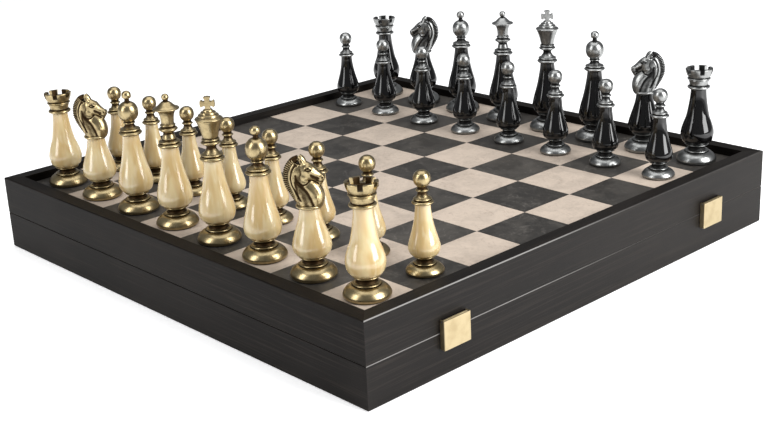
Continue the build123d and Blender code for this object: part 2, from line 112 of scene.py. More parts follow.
# %% Wires that can be added and multiplied
class Wire:
    """An output socket that works in sums."""

    def __init__(self, finish, socket):
        self.finish = finish
        self.socket = socket

    def math(self, operation, other, swapped=False):
        pair = (other, self) if swapped else (self, other)
        return self.finish.add("ShaderNodeMath", {"operation": operation}, {0: pair[0], 1: pair[1]})

    def __add__(self, other):
        return self.math("ADD", other)

    def __sub__(self, other):
        return self.math("SUBTRACT", other)

    def __rsub__(self, other):
        return self.math("SUBTRACT", other, True)

    def __mul__(self, other):
        return self.math("MULTIPLY", other)

    def __truediv__(self, other):
        return self.math("DIVIDE", other)

    __radd__ = __add__
    __rmul__ = __mul__

    def __rtruediv__(self, other):
        return self.math("DIVIDE", other, True)

    def between(self, low, high):
        """0 below low, 1 above high, and a soft step from one to the other."""
        ends = {"Value": self, "From Min": low, "From Max": high}
        return self.finish.add("ShaderNodeMapRange", {"interpolation_type": "SMOOTHSTEP"}, ends)

    def part(self, name):
        """One axis of a vector, or one channel of a colour."""
        return self.finish.add("ShaderNodeSeparateXYZ", None, {0: self}, name)


# %% [markdown]
# A finish is one Principled surface. Settings that are the same all over are given when it is made,
# and `feed` links what changes from place to place. `on_box` reads a place on the box, and `stored`
# reads what a chessman's mesh keeps at each point, which turns and travels with the piece.


# %% Finishes
class Finish:
    """A material, with short ways to add its noise, mixes and bumps."""

    def __init__(self, name, **constants):
        self.material = bpy.data.materials.new(name)
        self.material.use_nodes = True
        self.tree = self.material.node_tree
        self.tree.nodes.clear()
        self.surface = add_node(self.tree, "ShaderNodeBsdfPrincipled")
        out = add_node(self.tree, "ShaderNodeOutputMaterial")
        self.tree.links.new(self.surface.outputs[0], out.inputs[0])
        for socket, value in constants.items():
            self.surface.inputs[socket.replace("_", " ")].default_value = value

    def add(self, kind, settings=None, inputs=None, output=0):
        plain = {k: v.socket if isinstance(v, Wire) else v for k, v in (inputs or {}).items()}
        return Wire(self, add_node(self.tree, kind, settings, plain).outputs[output])

    def mix(self, factor, a, b):
        """From colour a to colour b."""
        settings = {"data_type": "RGBA", "clamp_factor": True}
        ends = {0: factor, 6: as_colour(a), 7: as_colour(b)}
        return self.add("ShaderNodeMix", settings, ends, 2)

    def stretch(self, vector, scale):
        return self.add("ShaderNodeVectorMath", {"operation": "MULTIPLY"}, {0: vector, 1: scale})

    def noise(self, vector, scale, detail=3.0, roughness=0.5, distortion=0.0):
        inputs = {
            "Vector": vector, "Scale": scale, "Detail": detail,
            "Roughness": roughness, "Distortion": distortion,
        }
        return self.add("ShaderNodeTexNoise", {"noise_dimensions": "3D"}, inputs)

    def on_box(self):
        """Millimetres from the box's own origin."""
        place = self.add("ShaderNodeTexCoord", None, None, "Object")
        return self.stretch(place, (1 / MM, 1 / MM, 1 / MM))

    def stored(self, name, output="Vector"):
        """What the mesh stores at each point under a name."""
        return self.add("ShaderNodeAttribute", {"attribute_name": name}, None, output)

    def feed(self, **wires):
        for socket, wire in wires.items():
            self.tree.links.new(wire.socket, self.surface.inputs[socket.replace("_", " ")])
        return self

    def bump(self, height, strength, distance):
        inputs = {"Height": height, "Strength": strength, "Distance": distance}
        return self.feed(Normal=self.add("ShaderNodeBump", None, inputs))


def as_colour(value):
    return (*value, 1.0) if isinstance(value, tuple) and len(value) == 3 else value


# %% [markdown]
# ## Aged metal
# The white men's metal is antique brass and the black men's is antique pewter. Both are cast,
# darkened, and then rubbed back, so the dark stays in the grooves and the high parts are bright.
# Each mesh stores how deep in a groove its points lie, and the finish reads that.


# %% A darkened and rubbed metal
def aged_metal(name, bright, warm, dark, smooth):
    f = Finish(name, Metallic=1.0, IOR=1.5)
    own = f.stored("own")
    groove = f.stored("groove", "Fac")
    cloud = f.noise(own, 0.35, 4.0, 0.6)
    speck = f.noise(own, 2.4, 3.0, 0.7)
    held = (groove * 1.25 + (speck - 0.5) * 0.55 + (cloud - 0.5) * 0.35).between(0.10, 0.62)
    tone = f.mix(cloud.between(0.35, 0.7) * 0.7 + speck.between(0.5, 0.8) * 0.4, bright, warm)
    f.feed(Base_Color=f.mix(held, tone, dark))
    f.feed(Roughness=smooth + speck * 0.10 + held * 0.22 + cloud * 0.06)
    return f.bump(speck + cloud * 0.4, 0.12, 0.0002).material


antique_brass = aged_metal(
    "antique_brass", (0.42, 0.335, 0.185), (0.27, 0.208, 0.108), (0.034, 0.020, 0.009), 0.21
)
antique_pewter = aged_metal(
    "antique_pewter", (0.33, 0.335, 0.33), (0.20, 0.204, 0.20), (0.019, 0.019, 0.019), 0.22
)
print("metals", antique_brass.name, antique_pewter.name)

# %% [markdown]
# ## Cast resin
# The pale bodies are a glossy marbled resin: cream, with soft amber and rosy bands that were drawn
# upwards as it was poured. Noise that is squeezed across and stretched along the body gives bands.
# The black bodies are plain and very glossy.


# %% Cream and black resin
def cream_resin():
    f = Finish("cream_resin", IOR=1.5, Coat_Weight=0.9, Coat_Roughness=0.05, Subsurface_Weight=0.10)
    f.surface.inputs["Subsurface Radius"].default_value = (0.004, 0.0025, 0.0012)
    own = f.stored("own")
    bands = f.noise(f.stretch(own, (0.12, 0.12, 0.014)), 1.0, 2.0, 0.4, 0.3)
    veins = f.noise(f.stretch(own, (0.30, 0.30, 0.028)), 1.0, 2.0, 0.45, 0.3)
    cream = f.mix(bands.between(0.42, 0.60), (0.475, 0.338, 0.148), (0.565, 0.45, 0.245))
    rosy = f.mix(veins.between(0.52, 0.68) * 0.45, cream, (0.53, 0.38, 0.198))
    f.feed(Base_Color=f.mix(veins.between(0.30, 0.46) * -0.35 + 0.35, rosy, (0.63, 0.555, 0.385)))
    f.feed(Roughness=0.20 + bands * 0.10)
    return f.bump(bands, 0.05, 0.0003).material


def black_resin():
    f = Finish("black_resin", IOR=1.5)
    own = f.stored("own")
    flow = f.noise(f.stretch(own, (0.15, 0.15, 0.04)), 1.0, 3.0)
    f.feed(Base_Color=f.mix(flow, (0.0018, 0.0018, 0.0021), (0.0042, 0.0040, 0.0039)))
    f.feed(Roughness=0.035 + flow * 0.04)
    return f.bump(flow, 0.04, 0.0003).material


ivory_body = cream_resin()
ebony_body = black_resin()
print("resins", ivory_body.name, ebony_body.name)

# %% [markdown]
# ## The box's wood
# The box is a fine-grained wood under a black stain, so its grain shows only as faint lighter
# streaks and as a slight unevenness in the satin lacquer. Each wall is cut with the grain along its
# length, so there is one finish for the front and back and another for the sides. On the front and
# back the eased edges along the top and the parting line get a painted highlight, a paler band in
# the colour where light would glint on them, stronger towards the left-hand end.


# %% Black-stained wood
seam_height, wall_top, wall_face = 28.0, 56.0, 203.0
top_ease, seam_ease = 0.6, 0.4


def stained_wood(name, along, shine, painted_highlight):
    """Black stain over a grain that runs along x or y; the last argument sets how strongly a painted
    highlight shows on the eased edges.
    """
    f = Finish(name, IOR=1.42, Specular_IOR_Level=shine)
    place = f.on_box()
    streak = (0.012, 0.9, 0.9) if along == "x" else (0.9, 0.012, 0.9)
    pore = (0.05, 5.0, 5.0) if along == "x" else (5.0, 0.05, 5.0)
    grain = f.noise(f.stretch(place, streak), 1.0, 5.0, 0.65, 0.4)
    pores = f.noise(f.stretch(place, pore), 1.0, 2.0, 0.5)
    cloud = f.noise(place, 0.012, 2.0)
    lines = grain.between(0.48, 0.66) * 0.7 + pores.between(0.58, 0.72) * 0.4
    stain = f.mix(lines, (0.0048, 0.0038, 0.0032), (0.0185, 0.0150, 0.0125))
    stained = f.mix(cloud.between(0.4, 0.7) * 0.35, stain, (0.0125, 0.0102, 0.0088))
    # Painted highlight: a pale grey band is mixed into the base colour along the outer eased edges at the
    # top and at the parting line, stronger at the left-hand end, in place of the light's glint on them.
    height, across = place.part("Z"), place.part("Y")
    off_seam = height - seam_height
    flat_ends = wall_face - top_ease
    outside = (across * across).between((flat_ends - 0.1) ** 2, (flat_ends + 0.1) ** 2)
    by_seam = 1 - (off_seam * off_seam).between(0.01, 1.25 * seam_ease**2)
    by_top = height.between(wall_top - top_ease - 0.15, wall_top - top_ease + 0.15)
    edges = by_seam + by_top
    fading = 1 - place.part("X").between(-90.0, 60.0) * 0.85
    f.feed(Base_Color=f.mix(edges * outside * fading * painted_highlight, stained, (0.27, 0.26, 0.25)))
    f.feed(Roughness=0.36 + grain * 0.16 + pores * 0.08)
    return f.bump(grain * -0.5 + pores * -0.5, 0.22, 0.00025).material


# Only the front and back get the painted highlight on their edges (0.75); the sides get none.
wood_along_x = stained_wood("black_wood_along_x", "x", 0.17, 0.75)
wood_along_y = stained_wood("black_wood_along_y", "y", 0.09, 0.0)
print("woods", wood_along_x.name, wood_along_y.name)

# %% [markdown]
# ## The squares
# The board is veneered with burr wood, which has clouds, flecks and fine wandering veins instead
# of straight grain. Every square is its own cut from the sheet, so neighbours differ a little and
# no vein runs on. A random number for each square moves the pattern and shifts its tone. The
# light squares are bleached and the dark ones are stained almost black.


# %% Veneer squares
def veneer(name, pale, deep, vein, spread, rough):
    """Burr veneer; spread is how far one square's tone may differ from another's."""
    f = Finish(name, IOR=1.5, Specular_IOR_Level=0.4)
    place = f.on_box()
    per_square = f.stretch(place, (1 / square_mm, 1 / square_mm, 0.0))
    number = f.add("ShaderNodeVectorMath", {"operation": "FLOOR"}, {0: per_square})
    pick = f.add("ShaderNodeTexWhiteNoise", {"noise_dimensions": "3D"}, {"Vector": number}, "Value")
    shift = f.add("ShaderNodeTexWhiteNoise", {"noise_dimensions": "3D"}, {"Vector": number}, "Color")
    far = f.stretch(shift, (400.0, 400.0, 400.0))
    cut = f.add("ShaderNodeVectorMath", {"operation": "ADD"}, {0: place, 1: far})
    cloud = f.noise(cut, 0.06, 5.0, 0.62, 0.7)
    fleck = f.noise(cut, 0.45, 4.0, 0.65, 0.3)
    wander = f.noise(f.stretch(cut, (1.0, 0.6, 1.0)), 0.045, 4.0, 0.55, 1.6) - 0.5
    fine = 1 - (wander * wander * 2600.0).between(0.0, 1.0)
    veins = fine * fleck.between(0.42, 0.62)
    tone = cloud.between(0.32, 0.70) * 0.6 + fleck.between(0.42, 0.72) * 0.3 + (pick - 0.5) * spread
    f.feed(Base_Color=f.mix(veins * 0.32, f.mix(tone, pale, deep), vein))
    f.feed(Roughness=rough + cloud * 0.12 + fleck * 0.08)
    return f.bump(fleck * -0.4 + veins * -0.6, 0.15, 0.0001).material


light_veneer = veneer(
    "light_veneer", (0.49, 0.408, 0.335), (0.345, 0.288, 0.238), (0.25, 0.19, 0.15), 0.4, 0.42
)
dark_veneer = veneer(
    "dark_veneer", (0.020, 0.0178, 0.0155), (0.066, 0.059, 0.051), (0.15, 0.138, 0.125), 0.5, 0.38
)
print("veneers", light_veneer.name, dark_veneer.name)

# %% [markdown]
# ## Fittings and felt
# The latches are plated brass with a fine brushed surface, the hinges are the same brass with more
# wear, and the pins and screws are turned from wire. Both halves of the box are lined with green
# felt and each foot stands on black felt, which scatters light from a mat of short fibres.


# %% Brass, wire and felt
def plated_brass(name, colour, worn, brush, smooth):
    """Brass with a fine brushed grain; brush says how it is stretched along x, y and z."""
    f = Finish(name, Metallic=1.0, IOR=1.5)
    place = f.on_box()
    lines = f.noise(f.stretch(place, brush), 1.0, 3.0, 0.6)
    cloud = f.noise(place, 0.12, 3.0)
    speck = f.noise(place, 2.5, 2.0, 0.6)
    f.feed(Base_Color=f.mix(cloud.between(0.4, 0.75) * 0.6 + speck.between(0.6, 0.8) * 0.3, colour, worn))
    f.feed(Roughness=smooth + lines * 0.12 + cloud * 0.08)
    return f.bump(lines, 0.10, 0.00008).material


def felt(name, colour, fibre):
    f = Finish(name, IOR=1.4, Sheen_Weight=0.4, Sheen_Roughness=0.5)
    place = f.on_box()
    mat = f.noise(place, 1.1, 5.0, 0.75, 0.8)
    patch = f.noise(place, 0.03, 2.0)
    shade = mat.between(0.35, 0.7) * 0.7 + patch * 0.3
    f.feed(Base_Color=f.mix(shade, colour, fibre))
    f.feed(Roughness=0.9 + patch * 0.08)
    return f.bump(mat, 0.5, 0.0006).material


latch_brass = plated_brass("latch_brass", (0.46, 0.375, 0.225), (0.33, 0.255, 0.135), (0.4, 6.0, 6.0), 0.32)
hinge_brass = plated_brass("hinge_brass", (0.76, 0.62, 0.32), (0.48, 0.36, 0.17), (0.5, 5.0, 5.0), 0.26)
screw_brass = plated_brass("screw_brass", (0.72, 0.60, 0.34), (0.40, 0.31, 0.16), (4.0, 4.0, 4.0), 0.24)
pin_steel = plated_brass("pin_steel", (0.58, 0.57, 0.55), (0.36, 0.34, 0.32), (0.4, 6.0, 6.0), 0.22)
green_felt = felt("green_felt", (0.010, 0.050, 0.026), (0.020, 0.088, 0.045))
black_felt = felt("black_felt", (0.010, 0.010, 0.010), (0.028, 0.027, 0.026))

# %% [markdown]
# ## Finishing the box
# The box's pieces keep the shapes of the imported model, so each one only gets its finish.

# %% Paint the box
box_finishes = {
    "tray_wall_front": wood_along_x, "tray_wall_back": wood_along_x,
    "tray_wall_left": wood_along_y, "tray_wall_right": wood_along_y,
    "lid_wall_front": wood_along_x, "lid_wall_back": wood_along_x,
    "lid_wall_left": wood_along_y, "lid_wall_right": wood_along_y,
    "base_panel": wood_along_x, "board_panel": wood_along_x,
    "light_squares": light_veneer, "dark_squares": dark_veneer,
    "tray_lining": green_felt, "lid_lining": green_felt,
    "tray_hinge_leaves": hinge_brass, "lid_hinge_leaves": hinge_brass,
    "hinge_pins": pin_steel, "latch_pins": pin_steel,
    "tray_hinge_screws": screw_brass, "lid_hinge_screws": screw_brass,
    "latch_bracket_screws": screw_brass, "latch_keeper_screws": screw_brass,
    "latch_plate_left": latch_brass, "latch_plate_right": latch_brass,
    "latch_brackets": latch_brass, "latch_keepers": latch_brass,
}


def paint(obj, material):
    obj.data.materials.clear()
    obj.data.materials.append(material)


for node, material in box_finishes.items():
    paint(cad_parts[node], material)
print(len(box_finishes), "box pieces painted")

# %% [markdown]
# ## Shapes from Geometry Nodes
# `Shape` builds a tree with named inputs, and `make` runs it once and keeps a plain mesh. Wires
# work here too, since both kinds of tree share the Math node.


# %% Geometry trees
class Shape:
    """A Geometry Nodes tree that turns an outline into a solid."""

    def __init__(self, name, **inputs):
        self.tree = bpy.data.node_groups.new(name, "GeometryNodeTree")
        self.tree.interface.new_socket("Outline", in_out="INPUT", socket_type="NodeSocketGeometry")
        for label, kind in inputs.items():
            self.tree.interface.new_socket(label, in_out="INPUT", socket_type="NodeSocket" + kind)
        self.tree.interface.new_socket("Solid", in_out="OUTPUT", socket_type="NodeSocketGeometry")
        self.inputs = self.tree.nodes.new("NodeGroupInput").outputs

    def given(self, label):
        return Wire(self, self.inputs[label])

    def add(self, kind, settings=None, inputs=None, output=0):
        plain = {k: v.socket if isinstance(v, Wire) else v for k, v in (inputs or {}).items()}
        return Wire(self, add_node(self.tree, kind, settings, plain).outputs[output])

    def end(self, solid):
        real = self.add("GeometryNodeRealizeInstances", None, {0: solid})
        whole = {"Geometry": real, "Material": self.given("Finish")}
        done = self.add("GeometryNodeSetMaterial", None, whole)
        out = self.tree.nodes.new("NodeGroupOutput")
        self.tree.links.new(done.socket, out.inputs[0])
        return self

    def make(self, mesh, **values):
        """Runs the tree on a mesh and gives back a plain mesh."""
        holder = bpy.data.objects.new("holder", mesh)
        bpy.context.scene.collection.objects.link(holder)
        step = holder.modifiers.new("shape", "NODES")
        step.node_group = self.tree
        for item in self.tree.interface.items_tree:
            if item.in_out == "INPUT" and item.name in values:
                step[item.identifier] = values[item.name]
        holder.update_tag()
        graph = bpy.context.evaluated_depsgraph_get()
        made = bpy.data.meshes.new_from_object(
            holder.evaluated_get(graph), preserve_all_data_layers=True, depsgraph=graph
        )
        bpy.data.objects.remove(holder)
        return made


# %% [markdown]
# ## Turning
# Every foot, body and most heads are turned, so each is an outline of radius and height. The tree
# lays a grid with one row for each point of the outline and one column for each step of the turn,
# and then bends it round the axis. The seam and the two ends are merged, which closes the solid.


# %% The lathe
def lathe():
    s = Shape("turned_on_a_lathe", Segments="Int", Finish="Material")
    outline = s.given("Outline")
    rows = s.add("GeometryNodeAttributeDomainSize", {"component": "MESH"}, {0: outline}, "Point Count")
    columns = s.given("Segments") + 1
    grid = s.add("GeometryNodeMeshGrid", None, {"Vertices X": rows, "Vertices Y": columns}, "Mesh")
    index = s.add("GeometryNodeInputIndex")
    column = s.add("ShaderNodeMath", {"operation": "MODULO"}, {0: index, 1: columns})
    row = (index - column) / columns + 0.25
    place = s.add("GeometryNodeInputPosition")
    point = {"Geometry": outline, "Value": place, "Index": row}
    at = s.add("GeometryNodeSampleIndex", {"data_type": "FLOAT_VECTOR"}, point)
    radius, height = at.part("X"), at.part("Z")
    angle = column * (2 * pi) / s.given("Segments")
    across = radius * s.add("ShaderNodeMath", {"operation": "COSINE"}, {0: angle})
    deep = radius * s.add("ShaderNodeMath", {"operation": "SINE"}, {0: angle})
    ring = s.add("ShaderNodeCombineXYZ", None, {0: across, 1: deep, 2: height})
    turned = s.add("GeometryNodeSetPosition", None, {"Geometry": grid, "Position": ring})
    groove = s.add("GeometryNodeInputNamedAttribute", {"data_type": "FLOAT"}, {"Name": "groove"})
    point = {"Geometry": outline, "Value": groove, "Index": row}
    depth = s.add("GeometryNodeSampleIndex", {"data_type": "FLOAT"}, point)
    keep = {"Geometry": turned, "Name": "groove", "Value": depth}
    kept = s.add("GeometryNodeStoreNamedAttribute", {"data_type": "FLOAT", "domain": "POINT"}, keep)
    closed = s.add("GeometryNodeMergeByDistance", None, {"Geometry": kept, "Distance": 0.0004})
    shade = {"Geometry": closed, "Shade Smooth": True}
    return s.end(s.add("GeometryNodeSetShadeSmooth", {"domain": "FACE"}, shade))


turning = lathe()
print("nodes in the lathe tree", len(turning.tree.nodes))


# %% [markdown]
# ### Drawing an outline
# A turner's template has straight cuts, hollows and beads. An outline here is written the same
# way: a place alone is a corner, a list of places is a smooth curve, and corners are eased a
# little. The line also tells how deep each point lies in a groove, for the dark in the metal.


# %% Outlines
def through(points, per_gap=6):
    """A smooth curve through the points, as a dense line."""
    p = np.array(points, float)
    first, last = 2 * p[0] - p[1], 2 * p[-1] - p[-2]
    ends = np.vstack((first, p, last))
    line = [p[0]]
    for a, b, c, d in zip(ends, ends[1:], ends[2:], ends[3:]):
        for t in np.arange(1, per_gap + 1) / per_gap:
            pull = (2 * b, (c - a) * t, (2 * a - 5 * b + 4 * c - d) * t**2, (3 * b - a - 3 * c + d) * t**3)
            line.append(sum(pull) / 2)
    return np.array(line)


def outline(*steps, rounding=0.22):
    """Points joined by straight cuts, and lists of points joined by curves, with eased corners."""
    line, sharp = [], []
    for step in steps:
        if isinstance(step, list):
            curve = through([line[-1]] + step)[1:]
            line += [tuple(p) for p in curve]
            sharp += [False] * (len(curve) - 1) + [True]
        else:
            line.append(step)
            sharp.append(True)
    p = np.array(line, float)
    out = [p[0]]
    for before, here, after, corner in zip(p, p[1:], p[2:], sharp[1:]):
        reach_back = min(rounding, 0.45 * np.linalg.norm(here - before))
        reach_on = min(rounding, 0.45 * np.linalg.norm(after - here))
        if not corner or min(reach_back, reach_on) < 0.02:
            out.append(here)
            continue
        a = here + (before - here) / np.linalg.norm(before - here) * reach_back
        b = here + (after - here) / np.linalg.norm(after - here) * reach_on
        out += [(1 - t) ** 2 * a + 2 * t * (1 - t) * here + t**2 * b for t in (0, 0.3, 0.7, 1)]
    out.append(p[-1])
    return np.array(out)


def bead(radius, low, high, inner):
    """A half-round ring."""
    rise = high - low
    return (
        (inner, low), (radius - 0.45 * rise, low),
        [(radius, (low + high) / 2), (radius - 0.45 * rise, high)], (inner, high),
    )


def depth_in_grooves(line, window=2.4, full=0.85):
    """How far each point lies inside the outline's own average radius, from 0 to 1."""
    step = np.linalg.norm(np.diff(line, axis=0), axis=1)
    along = np.concatenate(((0,), np.cumsum(step)))
    weight = np.concatenate((step, step[-1:])) + 1e-6
    near = np.exp(-(((along[:, None] - along[None, :]) / window) ** 2)) * weight[None, :]
    usual = near @ line[:, 0] / near.sum(1)
    inside = np.where(line[:, 0] < 0.5, 0, usual - line[:, 0])
    return np.clip(inside / full, 0, 1)


def turn(line, finish, segments=72):
    """A turned solid, in millimetres about its own axis."""
    flat = bpy.data.meshes.new("outline")
    points = [(r, 0, z) for r, z in line]
    flat.from_pydata(points, [(i, i + 1) for i in range(len(points) - 1)], [])
    depth = flat.attributes.new("groove", "FLOAT", "POINT")
    depth.data.foreach_set("value", depth_in_grooves(line).astype(np.float32))
    made = turning.make(flat, Segments=segments, Finish=finish)
    bpy.data.meshes.remove(flat)
    return face_outwards(made)


def face_outwards(mesh):
    work = bmesh.new()
    work.from_mesh(mesh)
    bmesh.ops.recalc_face_normals(work, faces=work.faces)
    if work.calc_volume(signed=True) < 0:
        bmesh.ops.reverse_faces(work, faces=work.faces)
    work.to_mesh(mesh)
    work.free()
    return mesh


print("a trial curve has", len(through([(0, 0), (1, 1), (2, 0)])), "points")

# %% [markdown]
# ## Feet, bodies and pads
# Heights are in millimetres above the square. A foot is a domed casting with a bright ring, a
# dark waist and a flange. The body is one long drop, fattest low down, and sits on the flange.

# %% Turned pieces of a chessman
officer_foot = outline(
    (0, 1.2), (13.5, 1.2), (13.5, 0.6), (14.1, 0.6),
    [(14.7, 2.0), (14.2, 3.7), (12.8, 5.7), (10.8, 7.3), (9.2, 8.0)],
    (8.3, 8.1), *bead(8.7, 8.1, 9.3, 7.6), (6.9, 9.6), [(6.2, 10.3), (6.1, 11.6), (6.8, 12.6)],
    (7.8, 13.0), *bead(8.6, 13.0, 14.0, 7.8), (0, 14.0),
)
pawn_foot = outline(
    (0, 1.2), (10.8, 1.2), (10.8, 0.6), (11.4, 0.6),
    [(12.0, 1.7), (11.6, 3.0), (10.4, 4.5), (8.8, 5.7), (7.6, 6.2)],
    (6.8, 6.3), *bead(7.05, 6.3, 7.4, 6.2), (5.6, 7.6), [(4.95, 8.2), (4.9, 9.4), (5.4, 10.3)],
    (6.1, 10.7), *bead(6.8, 10.7, 11.6, 6.2), (0, 11.6),
)


def drop(bottom, low, belly_height, belly, neck_points, top):
    """A body's outline from its flat bottom, out to the belly and up to its top."""
    rise = belly_height - bottom
    spread = belly - low
    under = [(low + 0.45 * spread, bottom + 0.16 * rise), (low + 0.78 * spread, bottom + 0.42 * rise)]
    side = under + [(belly, belly_height)] + neck_points
    return outline((0, bottom), (low, bottom), side, top, (0, top[1]))


officer_neck = [(11.9, 23.8), (10.9, 28.4), (9.6, 33.0), (8.3, 38.2), (7.1, 44.4), (6.1, 50.6), (5.6, 55.4)]
officer_body = drop(14.0, 8.0, 20.3, 12.2, officer_neck, (5.5, 56.0))
rook_neck = [(11.8, 25.4), (10.3, 30.2), (8.7, 34.6), (7.4, 41), (6.2, 49), (5.7, 55.4)]
rook_body = drop(14.0, 8.0, 21.8, 12.2, rook_neck, (5.6, 56.0))
knight_neck = [(11.7, 23.6), (10.4, 28.0), (8.8, 32.8), (7.2, 38.4), (6.2, 44.4)]
knight_body = drop(14.0, 8.0, 20.2, 12.2, knight_neck, (6.1, 45.0))
pawn_neck = [(9.6, 19.6), (8.5, 23.4), (7.2, 27.8), (5.8, 34.0), (4.95, 40.4), (4.7, 44.0)]
pawn_body = drop(11.6, 6.5, 16.4, 10.0, pawn_neck, (4.65, 44.6))
officer_pad = outline((0, 0), (13.5, 0), (13.5, 1.2), (0, 1.2), rounding=0.1)
pawn_pad = outline((0, 0), (10.8, 0), (10.8, 1.2), (0, 1.2), rounding=0.1)
print("points in the feet", len(officer_foot), len(pawn_foot))

# %% [markdown]
# ## Turned heads
# Every officer has the same double collar and bell-shaped neck. Above it the king has a tall
# flared cup with a stepped lid, the queen a cup with a pointed roof and a ball, the bishop a
# plump drop with a button, and the rook a tower. The pawn's head is a smaller collar and a ball.


# %% Heads
def collar(z, wide):
    """A double collar from height z."""
    return (
        (0, z), (wide - 0.8, z), [(wide - 0.1, z + 0.7), (wide, z + 1.3), (wide - 0.7, z + 2.1)],
        (wide - 1.4, z + 2.4), (wide - 1.9, z + 2.5), (wide - 1.9, z + 2.9), (wide - 1.2, z + 3.0),
        [(wide - 0.9, z + 3.6), (wide - 1.5, z + 4.2)], (wide - 2.4, z + 4.3),
    )


king_head = outline(
    *collar(56, 8.1), [(4.6, 61.6), (3.5, 63.2), (3.2, 64.6), (3.7, 66.0)], (4.6, 66.5),
    *bead(6.6, 66.7, 68.6, 5.0), (4.9, 68.8), (4.9, 69.0), *bead(5.9, 69.1, 70.4, 4.9), (4.9, 70.6),
    [(5.3, 72.0), (6.1, 75.6), (7.3, 79.2), (8.5, 82.2)], (8.6, 82.6), *bead(9.2, 82.6, 84.0, 8.6),
    (8.2, 84.2), (6.9, 84.6), (6.7, 86.0), (6.2, 86.3), (5.2, 86.4), (5.0, 87.8), (4.5, 88.0), (3.4, 88.1),
    [(3.2, 89.0), (2.6, 89.6)], (0, 89.8),
)
queen_head = outline(
    *collar(56, 8.1), [(4.6, 60.8), (4.4, 62.2), (3.9, 64.2), (3.5, 65.6)], (4.4, 66.3),
    *bead(6.5, 67.1, 69.3, 5.0), (4.7, 69.5), (4.7, 70.0), *bead(5.3, 70.2, 71.7, 4.6), (4.3, 72.0),
    [(4.4, 74.0), (4.8, 77.2), (5.6, 79.8), (6.6, 81.0)], (8.2, 81.5),
    *bead(8.9, 81.6, 82.8, 8.0), (7.6, 82.9),
    [(6.0, 83.9), (4.4, 85.4), (3.0, 86.6), (2.0, 87.2)], [(1.6, 87.5), (1.7, 87.8)],
    [(2.3, 88.8), (2.5, 89.9), (2.1, 91.2), (1.2, 92.0)], (0, 92.3),
)
bishop_head = outline(
    *collar(56, 8.1), [(4.3, 61.2), (3.4, 62.6), (3.3, 63.4)],
    *bead(4.2, 63.7, 64.8, 3.5), (3.7, 65.0), (3.7, 65.4),
    [(5.6, 67.2), (6.8, 69.6), (7.1, 72.0), (6.8, 74.6), (5.7, 76.8), (4.0, 78.4), (2.4, 79.1)],
    (1.75, 79.5), (1.6, 81.4), [(2.9, 82.0), (3.3, 83.6), (2.9, 85.4), (1.6, 86.6)], (0, 86.9),
)
rook_head = outline(
    (0, 56), (7.4, 56), [(8.2, 56.7), (8.1, 57.6)], (7.3, 58.1), (6.5, 58.2), (6.5, 58.7), (6.8, 58.9),
    [(7.0, 60.2), (7.5, 61.8), (7.7, 62.4)], (7.5, 62.7), *bead(8.5, 62.8, 64.1, 7.4), (7.3, 64.2),
    (7.3, 64.6), (8.1, 64.8), [(8.6, 65.6), (9.3, 67.4), (9.8, 69.2), (10.0, 70.6)], (9.9, 71.0),
    (7.3, 71.0), (7.0, 67.0), (6.2, 66.5), (0, 66.3),
)
knight_base = outline(
    (0, 45), (7.6, 45), [(8.2, 45.5), (8.2, 46.3), (7.8, 46.8)], (7.4, 47.0), (0, 47.4),
)
pawn_head = outline(
    (0, 44.6), (5.9, 44.6), [(6.65, 45.2), (6.65, 45.9), (6.0, 46.5)], (5.1, 46.7), (4.8, 46.8),
    (4.8, 47.1), (5.2, 47.2), [(5.6, 47.8), (5.1, 48.4)], (4.4, 48.5),
    [(3.6, 49.3), (3.0, 50.8), (2.8, 52.0)],
    (2.9, 52.2), *bead(4.0, 52.3, 53.8, 3.1), (2.9, 54.0), (2.9, 54.6), (3.0, 55.0), (3.4, 55.6),
    [(4.6, 57.0), (5.3, 59.2), (5.2, 61.6), (4.2, 63.7), (2.3, 65.1)], (0, 65.5),
)
print("tops in mm", {"king": king_head[-1][1], "queen": queen_head[-1][1], "bishop": bishop_head[-1][1]})

# %% [markdown]
# ## The rook's battlements
# The tower is turned with a thick rim and then notched, as a milling cutter would do it. The
# tree sets one cutter for each notch round the rim and takes them all away in one cut.


# %% Notches
cutter_length, cutter_middle, rim_top = 14.0, 10.5, 71.0


def notching():
    s = Shape("notched_rim", Notches="Int", Width="Float", Depth="Float", Finish="Material")
    turn_of_one = (2 * pi) / s.given("Notches")
    one_each = {"Count": s.given("Notches"), "Offset": (0, 0, 0)}
    points = s.add("GeometryNodeMeshLine", {"mode": "OFFSET"}, one_each)
    tall = s.given("Depth") * 2
    size = s.add("ShaderNodeCombineXYZ", None, {0: cutter_length, 1: s.given("Width"), 2: tall})
    block = s.add("GeometryNodeMeshCube", None, {"Size": size})
    moved = {"Geometry": block, "Translation": (cutter_middle, 0, rim_top)}
    out = s.add("GeometryNodeTransform", None, moved)
    angle = (s.add("GeometryNodeInputIndex") + 0.5) * turn_of_one
    spin = s.add("ShaderNodeCombineXYZ", None, {2: angle})
    cutters = {"Points": points, "Instance": out, "Rotation": spin}
    ring = s.add("GeometryNodeInstanceOnPoints", None, cutters)
    loose = s.add("GeometryNodeRealizeInstances", None, {0: ring})
    cut = {"Mesh 1": s.given("Outline"), "Mesh 2": loose}
    tower = s.add("GeometryNodeMeshBoolean", {"operation": "DIFFERENCE", "solver": "EXACT"}, cut)
    return s.end(tower)


notches = notching()
print("nodes in the notching tree", len(notches.tree.nodes))

# %% [markdown]
# ## The king's cross
# The cross is a flat casting with four flared, rounded lobes. One lobe is drawn, turned three
# times, and the outline is given its thickness and a soft edge.


